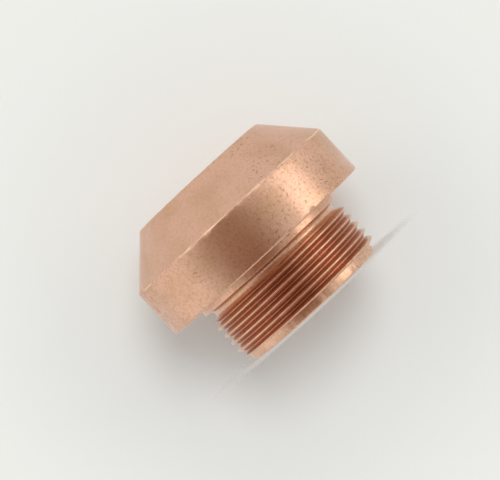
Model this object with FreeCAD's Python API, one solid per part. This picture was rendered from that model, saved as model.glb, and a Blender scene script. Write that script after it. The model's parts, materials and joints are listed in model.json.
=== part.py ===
"""Plasma torch nozzle, turned from one piece of copper.

The nozzle stands on its rear end, with the front face and the orifice up. The axis of the part
is the z axis, and z = 0 is the rear end. All sizes are in millimetres.
"""

import FreeCAD, Part
import math
import os

# The outside, from the front face back to the rear end.
face_diameter = 24.2      # flat front face round the orifice
cone_length = 7.1         # from the front face back to the cylinder of the head
head_diameter = 37.5
head_length = 8.2         # cylindrical stretch of the head
land_length = 1.1         # plain land under the head, as wide as the thread
thread_diameter = 27.0    # M27 x 1.5, right hand
thread_pitch = 1.5
thread_length = 7.0
pilot_length = 1.4        # plain pilot that finds the hole before the thread starts

# What the thread settles.
relief_width = thread_pitch + 0.1                       # room for the threading tool to run out
relief_diameter = thread_diameter - 1.8 * thread_pitch  # just below the thread's root
pilot_diameter = thread_diameter - 1.4 * thread_pitch   # slips through the mating thread

# The bore, from the rear end forward.
chamber_diameter = 18.0   # takes the tip of the electrode and the swirling gas
chamber_depth = 12.0
throat_angle = 90.0       # included angle of the cone that gathers the gas
orifice_diameter = 3.0

# Broken edges, each a 45 degree chamfer this wide.
rim_chamfer = 0.25        # rear end of the pilot
lead_chamfer = 0.3        # first turn of the thread
back_chamfer = 0.3        # back edge of the head
corner_chamfer = 0.15     # between the head's cylinder and its cone
face_chamfer = 0.2        # edge of the front face
chamber_chamfer = 0.5     # mouth of the chamber
orifice_chamfer = 0.25    # mouth of the orifice

# The threading tool: a 60 degree vee with a flat tip, as deep as the ISO metric profile asks.
groove_depth = 0.6134 * thread_pitch
crest_width = thread_pitch / 8
flank_slope = math.tan(math.radians(30))
overcut = thread_pitch / 15       # how far the tool stands outside the blank
start_angle = 130.0               # where round the axis the tool starts and stops

# Heights that follow from the lengths.
thread_bottom = pilot_length
thread_top = thread_bottom + thread_length
relief_top = thread_top + relief_width
shoulder = relief_top + land_length
cone_bottom = shoulder + head_length
front = cone_bottom + cone_length

origin = FreeCAD.Vector(0, 0, 0)
axis = FreeCAD.Vector(0, 0, 1)


def at(radius, height):
    """A point of the half section: so far from the axis, so far up."""
    return FreeCAD.Vector(radius, 0, height)


def on_relief(degrees):
    """A point on the half circle of the relief, so many degrees round from its lower end."""
    nose = relief_width / 2
    turned = math.radians(degrees)
    radius = relief_diameter / 2 + nose - nose * math.sin(turned)
    height = thread_top + nose - nose * math.cos(turned)
    return at(radius, height)


def half_section():
    """The face that is turned round the axis, with its edges still sharp."""
    pilot = pilot_diameter / 2
    thread = thread_diameter / 2
    head = head_diameter / 2
    chamber = chamber_diameter / 2
    orifice = orifice_diameter / 2
    throat_length = (chamber - orifice) / math.tan(math.radians(throat_angle / 2))

    below_relief = [
        at(chamber, 0),
        at(pilot, 0),
        at(pilot, thread_bottom),
        at(thread, thread_bottom),
        at(thread, thread_top),
        on_relief(0),
    ]
    above_relief = [
        on_relief(180),
        at(thread, relief_top),
        at(thread, shoulder),
        at(head, shoulder),
        at(head, cone_bottom),
        at(face_diameter / 2, front),
        at(orifice, front),
        at(orifice, chamber_depth + throat_length),
        at(chamber, chamber_depth),
        at(chamber, 0),
    ]
    # Four arcs make the relief's half circle, because short arcs mesh with fewer triangles.
    relief = []
    for degrees in (0, 45, 90, 135):
        arc = Part.Arc(on_relief(degrees), on_relief(degrees + 22.5), on_relief(degrees + 45))
        relief.append(arc.toShape())
    edges = Part.makePolygon(below_relief).Edges + relief + Part.makePolygon(above_relief).Edges
    return Part.Face(Part.Wire(edges))


def circle_at(solid, radius, height):
    """The circular edge of the solid that has this radius and lies at this height."""
    for edge in solid.Edges:
        circle = edge.Curve
        if isinstance(circle, Part.Circle):
            miss = abs(circle.Radius - radius) + abs(circle.Center.z - height)
            if miss < 1e-4:
                return edge
    raise ValueError(f"no circle of radius {radius} at height {height}")


def blank():
    """The turned blank, with its edges broken, before the thread is cut."""
    solid = half_section().revolve(origin, axis, 360)
    broken_edges = [
        (rim_chamfer, pilot_diameter, 0),
        (lead_chamfer, thread_diameter, thread_bottom),
        (back_chamfer, head_diameter, shoulder),
        (corner_chamfer, head_diameter, cone_bottom),
        (face_chamfer, face_diameter, front),
        (chamber_chamfer, chamber_diameter, 0),
        (orifice_chamfer, orifice_diameter, front),
    ]
    for chamfer, diameter, height in broken_edges:
        solid = solid.makeChamfer(chamfer, [circle_at(solid, diameter / 2, height)])
    return solid.Solids[0]


def tool_outline(height):
    """The threading tool's tip at this height. It leaves a flat crest between two of its turns."""
    thread = thread_diameter / 2
    outer_half = (thread_pitch - crest_width) / 2 + overcut * flank_slope
    tip_half = outer_half - (groove_depth + overcut) * flank_slope
    return Part.makePolygon([
        at(thread - groove_depth, height - tip_half),
        at(thread + overcut, height - outer_half),
        at(thread + overcut, height + outer_half),
        at(thread - groove_depth, height + tip_half),
        at(thread - groove_depth, height - tip_half),
    ])


def thread_groove():
    """The groove of the thread as a solid: the tool's tip carried along a right-hand helix.

    The tool stops in the middle of the relief, whole turns above where it starts, which is clear
    below the thread's lower end. Each turn is an edge of its own, which keeps the cut reliable.
    """
    stop = relief_top - relief_width / 2
    turns = math.ceil((stop - thread_bottom) / thread_pitch + 0.5)
    start = stop - turns * thread_pitch
    path = []
    for turn in range(turns):
        helix = Part.makeHelix(thread_pitch, thread_pitch, thread_diameter / 2)
        helix.translate(at(0, start + turn * thread_pitch))
        path += helix.Edges
    make_solid = True
    follow_helix = True
    groove = Part.Wire(path).makePipeShell([tool_outline(start)], make_solid, follow_helix)
    groove.rotate(origin, axis, start_angle)
    return groove


def nozzle():
    return blank().cut(thread_groove()).Solids[0]


os.makedirs("parts", exist_ok=True)
shape = nozzle()
print("valid:", shape.isValid(), " volume:", round(shape.Volume, 1), "cubic millimetres")
shape.exportStep("parts/nozzle.step")
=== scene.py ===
"""A plasma torch nozzle of bare copper, standing on its rear end. Lengths are in millimetres."""

import json
import math

import bmesh
import bpy
from mathutils import Matrix, Quaternion, Vector, noise


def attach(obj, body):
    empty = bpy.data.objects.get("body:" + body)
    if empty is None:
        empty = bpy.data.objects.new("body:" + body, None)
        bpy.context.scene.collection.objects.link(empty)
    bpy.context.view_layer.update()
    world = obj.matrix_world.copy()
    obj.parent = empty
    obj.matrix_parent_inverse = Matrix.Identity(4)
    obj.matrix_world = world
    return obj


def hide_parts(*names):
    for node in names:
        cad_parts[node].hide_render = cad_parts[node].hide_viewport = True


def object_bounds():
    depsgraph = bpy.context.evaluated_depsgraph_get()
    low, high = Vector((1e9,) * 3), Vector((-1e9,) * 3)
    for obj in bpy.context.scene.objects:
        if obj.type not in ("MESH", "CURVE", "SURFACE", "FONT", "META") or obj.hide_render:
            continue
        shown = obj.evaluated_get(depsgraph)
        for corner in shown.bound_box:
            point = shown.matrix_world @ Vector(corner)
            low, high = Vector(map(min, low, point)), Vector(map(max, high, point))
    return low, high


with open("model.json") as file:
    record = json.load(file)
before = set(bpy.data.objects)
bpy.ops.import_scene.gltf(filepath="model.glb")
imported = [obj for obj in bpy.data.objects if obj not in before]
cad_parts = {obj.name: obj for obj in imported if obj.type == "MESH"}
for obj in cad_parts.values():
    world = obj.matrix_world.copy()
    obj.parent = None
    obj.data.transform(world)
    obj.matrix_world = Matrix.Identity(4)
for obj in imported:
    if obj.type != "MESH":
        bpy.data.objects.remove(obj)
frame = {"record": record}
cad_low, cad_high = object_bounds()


# =============================================================================================
# The nozzle: one piece of copper bar, turned all over, bored from the rear for the electrode and
# threaded M27 x 1.5 to screw into the torch. Its sharp edges are broken, and handling has rubbed,
# nicked and dented it.
# =============================================================================================

MM = 0.001
mounts = {mount["name"]: mount for mount in frame["record"]["mounts"]}
front = cad_high.z / MM
head_radius = cad_high.x / MM
shoulder = mounts["seat"]["pos_m"][2] / MM
land_radius = mounts["land"]["dims"]["r_mm"]
pilot_radius = mounts["pilot"]["dims"]["r_mm"]
chamber_radius = mounts["chamber"]["dims"]["r_mm"]
orifice_radius = mounts["orifice"]["dims"]["r_mm"]
face_radius = 12.1
cone_bottom = front - 7.1
throat_bottom = 12.0
throat_top = throat_bottom + chamber_radius - orifice_radius

# The relief behind the thread is a half-round groove, where the threading tool runs out.
thread_pitch = 1.5
thread_bottom = 1.4
thread_top = 8.4
root_radius = land_radius - 0.6134 * thread_pitch
relief_nose = 0.8
relief_middle = Vector((land_radius - 0.55, 0, thread_top + relief_nose))


def on_relief(degrees):
    """A point of the relief's half circle, so many degrees round from its lower end."""
    turned = math.radians(degrees)
    return relief_middle - relief_nose * Vector((math.sin(turned), 0, math.cos(turned)))


def add_run(mesh, points, longest):
    """Adds a chain of edges through these points, none of them longer than this."""
    corners = [mesh.verts.new(point) for point in points]
    for edge in [mesh.edges.new(pair) for pair in zip(corners, corners[1:])]:
        cuts = int(edge.calc_length() / longest)
        if cuts:
            bmesh.ops.subdivide_edges(mesh, edges=[edge], cuts=cuts)


# Half of the body's section, from the relief over the head and back through the bore. The outside
# is in short lengths, so that wear can be worked into it.
steps_round = 384
short_length = 0.45
long_length = 1.6
relief_start = math.degrees(math.asin((relief_middle.x - root_radius) / relief_nose))
body = bmesh.new()
add_run(body, [on_relief(relief_start + (180 - relief_start) * i / 10) for i in range(11)] + [
    (land_radius, 0, relief_middle.z + relief_nose),
    (land_radius, 0, shoulder),
    (head_radius, 0, shoulder),
    (head_radius, 0, cone_bottom),
    (face_radius, 0, front),
], short_length)
add_run(body, [
    (face_radius, 0, front),
    (orifice_radius, 0, front),
    (orifice_radius, 0, throat_top),
    (chamber_radius, 0, throat_bottom),
    (chamber_radius, 0, 0),
    (pilot_radius, 0, 0),
    (pilot_radius, 0, thread_bottom),
], long_length)
bmesh.ops.remove_doubles(body, verts=body.verts, dist=0.001)
bmesh.ops.spin(body, geom=body.verts[:] + body.edges[:], cent=(0, 0, 0), axis=(0, 0, 1),
               dvec=(0, 0, 0), angle=math.tau, steps=steps_round, use_merge=True)
bmesh.ops.remove_doubles(body, verts=body.verts, dist=0.001)

# Each broken edge is a ring: its radius, its height and how wide it is.
for radius, height, width in (
        (pilot_radius, 0, 0.22),
        (land_radius, relief_middle.z + relief_nose, 0.08),
        (head_radius, shoulder, 0.25),
        (head_radius, cone_bottom, 0.15),
        (face_radius, front, 0.2),
        (orifice_radius, front, 0.25),
        (chamber_radius, 0, 0.5)):
    ring = [edge for edge in body.edges if all(
        math.hypot(math.hypot(vert.co.x, vert.co.y) - radius, vert.co.z - height) < 0.01
        for vert in edge.verts)]
    bmesh.ops.bevel(body, geom=ring, offset=width, segments=3, profile=0.5, affect="EDGES",
                    material=-1)

# One turn of the thread: the outline of one pitch, from root to root, carried up a helix. The
# root is round, as the insert leaves it, and the crest is rubbed round by screwing in and out. The
# helix starts on the +X side, one pitch below the first root there.
first_root = 1.16 - thread_pitch
middle = first_root + thread_pitch / 2
half_root = 0.14
half_crest = 0.12
root_rise = 0.045
crest_fall = 0.03
turns = 6
thread = bmesh.new()
root_curve = [(share, root_radius + root_rise * share ** 2) for share in (0, 0.5, 1)]
add_run(thread, [(radius, 0, first_root + half_root * share) for share, radius in root_curve]
        + [(land_radius - crest_fall * share ** 2, 0, middle + half_crest * share)
           for share in (-1, -0.6, 0, 0.6, 1)]
        + [(radius, 0, first_root + thread_pitch - half_root * share)
           for share, radius in reversed(root_curve)], 0.3)
bmesh.ops.spin(thread, geom=thread.verts[:] + thread.edges[:], cent=(0, 0, 0), axis=(0, 0, 1),
               dvec=(0, 0, thread_pitch / steps_round), angle=math.tau, steps=steps_round,
               use_merge=False)
one_turn = thread.verts[:] + thread.edges[:] + thread.faces[:]
for turn in range(1, turns):
    copied = bmesh.ops.duplicate(thread, geom=one_turn)["geom"]
    bmesh.ops.translate(thread, vec=(0, 0, turn * thread_pitch),
                        verts=[item for item in copied if isinstance(item, bmesh.types.BMVert)])
bmesh.ops.remove_doubles(thread, verts=thread.verts, dist=0.001)

# The thread is trimmed square at both ends, and its first turn is chamfered to find its way in.
lead_chamfer = 0.3
for height, clear_outer in ((thread_bottom, False), (thread_top, True)):
    bmesh.ops.bisect_plane(thread, geom=thread.verts[:] + thread.edges[:] + thread.faces[:],
                           dist=0.0001, plane_co=(0, 0, height), plane_no=(0, 0, 1),
                           clear_outer=clear_outer, clear_inner=not clear_outer)
for vert in thread.verts:
    reach = math.hypot(vert.co.x, vert.co.y)
    allowed = land_radius - lead_chamfer + vert.co.z - thread_bottom
    if reach > allowed:
        vert.co.x *= allowed / reach
        vert.co.y *= allowed / reach

# It is joined to the body at both ends.
thread_mesh = bpy.data.meshes.new("thread")
thread.to_mesh(thread_mesh)
thread.free()
body.from_mesh(thread_mesh)
bpy.data.meshes.remove(thread_mesh)
rims = [edge for edge in body.edges if edge.is_boundary]
for below in (True, False):
    bmesh.ops.bridge_loops(body, edges=[
        edge for edge in rims if (edge.verts[0].co.z < thread_top / 2) == below])
bmesh.ops.recalc_face_normals(body, faces=body.faces)

# Wear. The outer edges have lost a little metal unevenly, and so has the left of the head, and
# knocks have left dents. Each dent is its place, how far it reaches and its depth.
edge_wear = 0.10
edge_reach = 0.45
left_wear = 0.22
worn_rings = ((head_radius, shoulder), (head_radius, cone_bottom), (face_radius, front),
              (pilot_radius, 0))
knocks = (
    ((-18.7, -1.2, 16.2), 1.2, 0.45),
    ((-18.6, -2.6, 13.4), 0.8, 0.16),
    ((-18.2, -4.6, 19.3), 0.8, 0.14),
    ((-18.6, -1.2, 11.6), 1.2, 0.35),
    ((9.1, -16.4, 11.3), 0.7, 0.20),
    ((4.0, -18.3, 19.3), 0.5, 0.07),
    ((-9.5, -16.2, 19.3), 0.6, 0.08),
    ((18.6, -2.0, 11.4), 0.7, 0.16),
    ((5.0, 18.1, 19.2), 0.8, 0.12),
    ((-14.0, 12.5, 11.3), 0.8, 0.15),
    ((2.0, -12.3, 0.0), 0.6, 0.10),
    ((-7.5, -9.5, 26.4), 0.6, 0.09),
)
for vert in body.verts:
    reach = math.hypot(vert.co.x, vert.co.y)
    if reach < pilot_radius - 1.0 and vert.co.z < front - 0.5:
        continue
    lost = 0
    for radius, height in worn_rings:
        nearness = 1 - math.hypot(reach - radius, vert.co.z - height) / edge_reach
        if nearness > 0:
            lost += edge_wear * nearness * max(0, 0.35 + noise.noise(vert.co * 0.9)
                                          + 0.6 * noise.noise(vert.co * 2.7))
    if reach > head_radius - 0.55 and vert.co.x < -17 and vert.co.y < 3:
        lost += left_wear * max(0, noise.noise(vert.co * 1.3))
    for dent, spread, depth in knocks:
        nearness = 1 - (vert.co - Vector(dent)).length / spread
        if nearness > 0:
            lost += depth * nearness * nearness * (3 - 2 * nearness)
    if lost:
        inwards = Vector((-vert.co.x / reach, -vert.co.y / reach, 0))
        if vert.co.z > front - 0.3:
            inwards.z = -0.7
        vert.co += lost * inwards

# Faces are shaded smooth, except across edges sharper than 35 degrees.
for face in body.faces:
    face.smooth = True
for edge in body.edges:
    edge.smooth = edge.calc_face_angle(0) < math.radians(35)

bmesh.ops.scale(body, vec=(MM, MM, MM), verts=body.verts)
nozzle_mesh = bpy.data.meshes.new("turned_nozzle")
body.to_mesh(nozzle_mesh)
body.free()
nozzle = bpy.data.objects.new("turned_nozzle", nozzle_mesh)
bpy.context.scene.collection.objects.link(nozzle)


def linear(hex_colour):
    """An sRGB hex colour as linear red, green, blue and alpha."""
    values = [int(hex_colour[i:i + 2], 16) / 255 for i in (1, 3, 5)]
    return [v / 12.92 if v <= 0.04045 else ((v + 0.055) / 1.055) ** 2.4 for v in values] + [1.0]


def add_node(tree, kind, inputs=None, result=0, **settings):
    """Adds a node with these settings, fills or links its inputs, and gives back one output."""
    node = tree.nodes.new(kind)
    for name, value in settings.items():
        setattr(node, name, value)
    for name, value in (inputs or {}).items():
        if isinstance(value, bpy.types.NodeSocket):
            tree.links.new(value, node.inputs[name])
        else:
            node.inputs[name].default_value = value
    return node.outputs[result] if node.outputs else None


# Turned copper: a satin, pinkish metal, whose cut marks run round the axis. It has dulled
# unevenly in the air. Painted shade makes it redder and darker down in the thread, and a
# painted highlight makes it bright along its rubbed edge between head and cone.
copper = bpy.data.materials.new("turned copper")
copper.use_nodes = True
tree = copper.node_tree
tree.nodes.clear()
smooth_step = {"interpolation_type": "SMOOTHSTEP"}

# In millimetres: the place, the distance from the axis, the height, and the way along the
# turned surface, which is height less distance on cylinders, cone and flat faces alike.
from_origin = add_node(tree, "ShaderNodeTexCoord", result="Object")
place = add_node(tree, "ShaderNodeVectorMath", {0: from_origin, "Scale": 1 / MM},
                 operation="SCALE")
sideways = add_node(tree, "ShaderNodeSeparateXYZ", {0: place}, result="X")
height = add_node(tree, "ShaderNodeSeparateXYZ", {0: place}, result="Z")
across = add_node(tree, "ShaderNodeVectorMath", {0: place, 1: (1, 1, 0)}, operation="MULTIPLY")
reach = add_node(tree, "ShaderNodeVectorMath", {0: across}, result="Value", operation="LENGTH")
along = add_node(tree, "ShaderNodeMath", {0: height, 1: reach}, operation="SUBTRACT")

# Cut marks are about 0.1 mm apart, too fine to show, so they are drawn 0.35 mm apart, and 5 mm
# long on the head.
marks_per_mm = 2.9
marks_per_radian = 3.5
facing = add_node(tree, "ShaderNodeVectorMath", {0: across}, operation="NORMALIZE")
round_about = add_node(tree, "ShaderNodeVectorMath", {
    0: facing, "Scale": marks_per_radian}, operation="SCALE")
spaced = add_node(tree, "ShaderNodeMath", {0: along, 1: marks_per_mm}, operation="MULTIPLY")
lengthwise = add_node(tree, "ShaderNodeCombineXYZ", {"Z": spaced})
wound = add_node(tree, "ShaderNodeVectorMath", {0: round_about, 1: lengthwise}, operation="ADD")
cut_marks = add_node(tree, "ShaderNodeTexNoise", {
    "Vector": wound, "Scale": 1.0, "Detail": 3.0, "Roughness": 0.6}, result="Fac")

# The satin grain is 0.4 mm across, and the dulling comes in patches of 5 mm.
grain = add_node(tree, "ShaderNodeTexNoise", {
    "Vector": place, "Scale": 2.4, "Detail": 3.0, "Roughness": 0.65}, result="Fac")
patches = add_node(tree, "ShaderNodeTexNoise", {
    "Vector": place, "Scale": 0.2, "Detail": 4.0, "Roughness": 0.55}, result="Fac")
dull_places = add_node(tree, "ShaderNodeMapRange", {
    "Value": patches, "From Min": 0.35, "From Max": 0.68}, **smooth_step)
dulled = add_node(tree, "ShaderNodeMix", {
    "Factor": dull_places, 6: linear("#e0b49d"), 7: linear("#d5aa8e")}, result=2,
    data_type="RGBA")

# The cone is smoother than the rest: its grain is half as strong.
off_cone = add_node(tree, "ShaderNodeMapRange", {
    "Value": height, "From Min": cone_bottom + 0.2, "From Max": cone_bottom - 0.2}, **smooth_step)
grain_strength = add_node(tree, "ShaderNodeMath", {0: off_cone, 1: 0.3, 2: 0.28},
                          operation="MULTIPLY_ADD")
dark_grains = add_node(tree, "ShaderNodeMapRange", {
    "Value": grain, "From Min": 0.4, "From Max": 0.72}, **smooth_step)
grain_share = add_node(tree, "ShaderNodeMath", {0: dark_grains, 1: grain_strength},
                       operation="MULTIPLY")
grained = add_node(tree, "ShaderNodeMix", {
    "Factor": grain_share, 6: dulled, 7: linear("#b98a6c")}, result=2, data_type="RGBA")

# Painted shade, darker and redder, fills the thread from 0.1 mm below its crests down, and stops
# at its two ends.
thread_shade_share = add_node(tree, "ShaderNodeMapRange", {
    "Value": grain, "From Min": 0.15, "From Max": 0.5}, **smooth_step)
for measure, outside, inside in (
        (reach, land_radius - 0.12, land_radius - 0.65),
        (reach, pilot_radius - 0.15, pilot_radius + 0.05),
        (height, thread_top + 0.2, thread_top - 0.1),
        (height, thread_bottom - 0.05, thread_bottom + 0.05)):
    within = add_node(tree, "ShaderNodeMapRange", {
        "Value": measure, "From Min": outside, "From Max": inside}, **smooth_step)
    thread_shade_share = add_node(tree, "ShaderNodeMath", {0: thread_shade_share, 1: within}, operation="MULTIPLY")
with_thread_shade = add_node(tree, "ShaderNodeMix", {
    "Factor": thread_shade_share, 6: grained, 7: linear("#b67d63")}, result=2, data_type="RGBA")

# Tarnish specks, up to 0.3 mm, are crowded in places, and there are more of them to the right.
crowding = add_node(tree, "ShaderNodeTexNoise", {
    "Vector": place, "Scale": 0.13, "Detail": 2.0}, result="Fac")
speckling = add_node(tree, "ShaderNodeTexNoise", {
    "Vector": place, "Scale": 2.6, "Detail": 1.0}, result="Fac")
crowded = add_node(tree, "ShaderNodeMapRange", {
    "Value": crowding, "From Min": 0.42, "From Max": 0.62}, **smooth_step)
to_the_right = add_node(tree, "ShaderNodeMapRange", {
    "Value": sideways, "From Min": -8.0, "From Max": 5.0}, **smooth_step)
one_side = add_node(tree, "ShaderNodeMath", {0: to_the_right, 1: 0.3}, operation="ADD")
peaks = add_node(tree, "ShaderNodeMapRange", {
    "Value": speckling, "From Min": 0.61, "From Max": 0.68}, **smooth_step)
specks = add_node(tree, "ShaderNodeMath", {0: crowded, 1: one_side}, operation="MULTIPLY")
specks = add_node(tree, "ShaderNodeMath", {0: specks, 1: peaks}, operation="MULTIPLY")

# Three short nicks lie close together on the left of the head, and one near its middle. Each is
# its place and the way it runs; half its length, width and depth are the same for all.
half_nick = (0.65, 0.11, 0.5)
nicked = 0.0
for nick, runs in (
        ((-9.7, -16.05, 16.1), (0.80, -0.48, -0.35)),
        ((-9.6, -16.1, 15.3), (0.89, -0.54, -0.60)),
        ((-9.8, -16.0, 14.6), (0.80, -0.48, -0.05)),
        ((2.4, -18.6, 13.2), (0.95, 0.12, 0.70))):
    hollow = add_node(tree, "ShaderNodeMapping", {
        "Vector": place, "Location": nick, "Scale": half_nick,
        "Rotation": Vector(runs).to_track_quat("X", "Y").to_euler()}, vector_type="TEXTURE")
    depth = add_node(tree, "ShaderNodeTexGradient", {"Vector": hollow}, result="Fac",
                     gradient_type="SPHERICAL")
    nicked = add_node(tree, "ShaderNodeMath", {0: nicked, 1: depth}, operation="MAXIMUM")
dirt_in_nicks = add_node(tree, "ShaderNodeMapRange", {
    "Value": nicked, "From Min": 0.0, "From Max": 0.5}, **smooth_step)
dirt = add_node(tree, "ShaderNodeMath", {0: specks, 1: dirt_in_nicks}, operation="MAXIMUM")
dirt_share = add_node(tree, "ShaderNodeMath", {0: dirt, 1: 0.4}, operation="MULTIPLY")
spotted = add_node(tree, "ShaderNodeMix", {
    "Factor": dirt_share, 6: with_thread_shade, 7: linear("#7a543c")}, result=2, data_type="RGBA")

# A painted highlight lies along the rubbed edge between head and cone, 0.2 mm wide, here and
# there, and wanders.
above_edge = add_node(tree, "ShaderNodeMath", {0: height, 1: cone_bottom + 0.25},
                      operation="SUBTRACT")
wandering = add_node(tree, "ShaderNodeMath", {0: patches, 1: 0.5, 2: above_edge},
                     operation="MULTIPLY_ADD")
from_edge = add_node(tree, "ShaderNodeMath", {0: wandering}, operation="ABSOLUTE")
edge_highlight_share = 0.8
for measure, outside, inside in (
        (from_edge, 0.17, 0.05),
        (reach, head_radius - 0.35, head_radius - 0.25),
        (patches, 0.42, 0.56)):
    within = add_node(tree, "ShaderNodeMapRange", {
        "Value": measure, "From Min": outside, "From Max": inside}, **smooth_step)
    edge_highlight_share = add_node(tree, "ShaderNodeMath", {0: edge_highlight_share, 1: within}, operation="MULTIPLY")
colour = add_node(tree, "ShaderNodeMix", {
    "Factor": edge_highlight_share, 6: spotted, 7: linear("#f6d3b8")}, result=2, data_type="RGBA")

# The back of the head is cut finer than its front, and each grain catches the light differently.
frontwards = add_node(tree, "ShaderNodeMapRange", {
    "Value": height, "From Min": 12.0, "From Max": 18.8}, **smooth_step)
finest = add_node(tree, "ShaderNodeMath", {0: grain, 1: 0.06, 2: 0.27},
                  operation="MULTIPLY_ADD")
roughness = add_node(tree, "ShaderNodeMath", {0: frontwards, 1: 0.08, 2: finest},
                     operation="MULTIPLY_ADD")

# Cut marks and grain stand up by a hundredth of a millimetre; specks and nicks are pits.
relief = add_node(tree, "ShaderNodeMath", {0: cut_marks, 1: grain}, operation="ADD")
for pit, pit_depth in ((specks, -0.35), (nicked, -2.0)):
    relief = add_node(tree, "ShaderNodeMath", {0: pit, 1: pit_depth, 2: relief},
                      operation="MULTIPLY_ADD")
surface = add_node(tree, "ShaderNodeBump", {
    "Height": relief, "Strength": 0.6, "Distance": 0.016 * MM})
metal = add_node(tree, "ShaderNodeBsdfPrincipled", {
    "Base Color": colour, "Metallic": 1.0, "Roughness": roughness, "Normal": surface})
add_node(tree, "ShaderNodeOutputMaterial", {"Surface": metal})
nozzle.data.materials.append(copper)
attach(nozzle, "root")
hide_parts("nozzle")


# =============================================================================================
# The floor that the nozzle stands on and the backdrop behind it: two sheets of pale paper that
# take its shadow, and fade into a surrounding of the same paper. Each is seen from its front
# only, and not by the metal, which reflects the surrounding instead.
# =============================================================================================

# Each sheet is how far out it starts and ends fading, its colour, and the glow that makes up for
# the light it doesn't get. Both lie a hair clear of the nozzle.
backdrop_middle = Vector((0, head_radius + 0.01, 10)) * MM
for name, fade_from, fade_to, paper_colour, glow in (
        ("floor", 13, 22, "#ecf1f0", "#5e615f"),
        ("backdrop", 30, 60, "#f1f1ee", "#000000")):
    sheet = bmesh.new()
    bmesh.ops.create_circle(sheet, cap_ends=True, segments=96, radius=fade_to * MM)
    bmesh.ops.translate(sheet, verts=sheet.verts, vec=(0, 0, -0.02 * MM))
    middle = Vector((0, 0, 0))
    if name == "backdrop":
        middle = backdrop_middle
        bmesh.ops.rotate(sheet, verts=sheet.verts,
                         matrix=Matrix.Rotation(math.radians(90), 3, "X"))
        bmesh.ops.translate(sheet, verts=sheet.verts, vec=middle)
    sheet_mesh = bpy.data.meshes.new(name)
    sheet.to_mesh(sheet_mesh)
    sheet.free()
    ground = bpy.data.objects.new(name, sheet_mesh)
    bpy.context.scene.collection.objects.link(ground)
    ground.visible_diffuse = False
    ground.visible_glossy = False
    ground.visible_shadow = False

    # Matt paper.
    paper = bpy.data.materials.new(name + " paper")
    paper.use_nodes = True
    tree = paper.node_tree
    tree.nodes.clear()
    from_origin = add_node(tree, "ShaderNodeTexCoord", result="Object")
    from_middle = add_node(tree, "ShaderNodeVectorMath", {0: from_origin, 1: middle},
                           operation="SUBTRACT")
    outwards = add_node(tree, "ShaderNodeVectorMath", {0: from_middle}, result="Value",
                        operation="LENGTH")
    faded = add_node(tree, "ShaderNodeMapRange", {
        "Value": outwards, "From Min": fade_from * MM, "From Max": fade_to * MM}, **smooth_step)
    behind = add_node(tree, "ShaderNodeNewGeometry", result="Backfacing")
    gone = add_node(tree, "ShaderNodeMath", {0: faded, 1: behind}, operation="MAXIMUM")
    matt = add_node(tree, "ShaderNodeBsdfDiffuse", {"Color": linear(paper_colour)})
    lit = add_node(tree, "ShaderNodeEmission", {"Color": linear(glow)})
    glowing = add_node(tree, "ShaderNodeAddShader", {0: matt, 1: lit})
    clear = add_node(tree, "ShaderNodeBsdfTransparent")
    mixed = add_node(tree, "ShaderNodeMixShader", {0: gone, 1: glowing, 2: clear})
    add_node(tree, "ShaderNodeOutputMaterial", {"Surface": mixed})
    ground.data.materials.append(paper)


# =============================================================================================
# The light: an even pale surrounding, soft lamps, and a wide brown card between the nozzle and
# the camera, which the camera doesn't see and whose reflection darkens the head.
# =============================================================================================

# Camera and metal see the surrounding as white paper, and it lights the sheets less than that.
world = bpy.data.worlds.new("studio")
bpy.context.scene.world = world
world.use_nodes = True
tree = world.node_tree
tree.nodes.clear()
seen = 0.0
for ray in ("Is Camera Ray", "Is Glossy Ray", "Is Transmission Ray"):
    seen_by = add_node(tree, "ShaderNodeLightPath", result=ray)
    seen = add_node(tree, "ShaderNodeMath", {0: seen, 1: seen_by}, operation="MAXIMUM")
surrounding = add_node(tree, "ShaderNodeMix", {
    "Factor": seen, 6: linear("#bfbfbf"), 7: linear("#efefea")}, result=2, data_type="RGBA")
background = add_node(tree, "ShaderNodeBackground", {"Color": surrounding, "Strength": 1.0})
add_node(tree, "ShaderNodeOutputWorld", {"Surface": background})


def towards(azimuth, elevation):
    """The direction so many degrees to the right of the front and above it."""
    az, el = math.radians(azimuth), math.radians(elevation)
    return Vector((math.sin(az) * math.cos(el), -math.cos(az) * math.cos(el), math.sin(el)))


# Each lamp is its direction in degrees, its distance and size in metres, its power in watts, its
# colour, and whether the metal reflects it.
head_middle = Vector((0, 0, 13)) * MM
for name, azimuth, elevation, distance, size, power, colour, in_metal in (
        ("window", 63, -5, 0.8, 0.42, 0.62, "#fffcf7", True),
        ("left soft box", -35, 38, 0.8, 0.5, 0.5, "#fffdf8", True),
        ("left wall", -88, 0, 0.8, 0.7, 0.26, "#fffdfc", True),
        ("right soft box", 38, 34, 0.8, 0.45, 0.45, "#fffdf8", True),
        ("overhead", 13, 15, 1.2, 0.5, 4.6, "#f9ffff", False)):
    light = bpy.data.lights.new(name, "AREA")
    light.shape = "DISK"
    light.size = size
    light.energy = power
    light.color = linear(colour)[:3]
    lamp = bpy.data.objects.new(name, light)
    bpy.context.scene.collection.objects.link(lamp)
    lamp.location = head_middle + towards(azimuth, elevation) * distance
    lamp.rotation_mode = "QUATERNION"
    lamp.rotation_quaternion = (head_middle - lamp.location).to_track_quat("-Z", "Y")
    lamp.visible_glossy = in_metal

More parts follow.
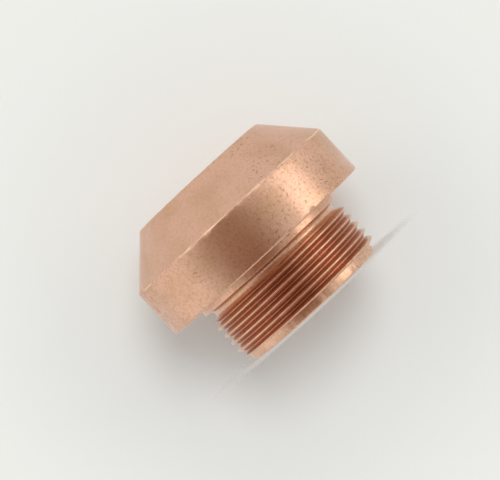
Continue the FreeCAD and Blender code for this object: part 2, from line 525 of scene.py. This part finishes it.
# The card is seen only in the metal. From its middle outwards, as the nozzle sees it, it fades
# out between these two angles.
card_distance = 0.3
card_inner = math.tan(math.radians(10)) * card_distance
card_outer = math.tan(math.radians(48)) * card_distance
card_shape = bmesh.new()
bmesh.ops.create_circle(card_shape, cap_ends=True, segments=96, radius=card_outer)
card_mesh = bpy.data.meshes.new("dark_card")
card_shape.to_mesh(card_mesh)
card_shape.free()
card = bpy.data.objects.new("dark_card", card_mesh)
bpy.context.scene.collection.objects.link(card)
card.location = head_middle + towards(-12, -6) * card_distance
card.rotation_mode = "QUATERNION"
card.rotation_quaternion = (head_middle - card.location).to_track_quat("Z", "Y")
card.visible_camera = False
card.visible_diffuse = False
card.visible_shadow = False
card.visible_transmission = False

# The card gives off its brown itself, so that no lamp changes it.
brown = bpy.data.materials.new("brown card")
brown.use_nodes = True
tree = brown.node_tree
tree.nodes.clear()
from_middle = add_node(tree, "ShaderNodeTexCoord", result="Object")
outwards = add_node(tree, "ShaderNodeVectorMath", {0: from_middle}, result="Value",
                    operation="LENGTH")
faded = add_node(tree, "ShaderNodeMapRange", {
    "Value": outwards, "From Min": card_inner, "From Max": card_outer}, **smooth_step)
dark = add_node(tree, "ShaderNodeEmission", {"Color": linear("#937359")})
clear = add_node(tree, "ShaderNodeBsdfTransparent")
mixed = add_node(tree, "ShaderNodeMixShader", {0: faded, 1: dark, 2: clear})
add_node(tree, "ShaderNodeOutputMaterial", {"Surface": mixed})
card.data.materials.append(brown)


# =============================================================================================
# The camera: almost square to the axis, level with the head, and rolled so that the nose points
# up and to the left.
# =============================================================================================

lens = bpy.data.cameras.new("camera")
lens.sensor_width = 36.0
lens.lens = 154.3
lens.clip_start = 0.01
camera = bpy.data.objects.new("camera", lens)
bpy.context.scene.collection.objects.link(camera)
camera.location = Vector((-0.6, -328.0, 18.1)) * MM
aim = Vector((-0.6, 0.0, 14.0)) * MM
roll = Quaternion((0, 0, 1), math.radians(-42.7))
camera.rotation_mode = "QUATERNION"
camera.rotation_quaternion = (aim - camera.location).to_track_quat("-Z", "Y") @ roll
bpy.context.scene.camera = camera

bpy.context.scene.view_settings.view_transform = "Standard"
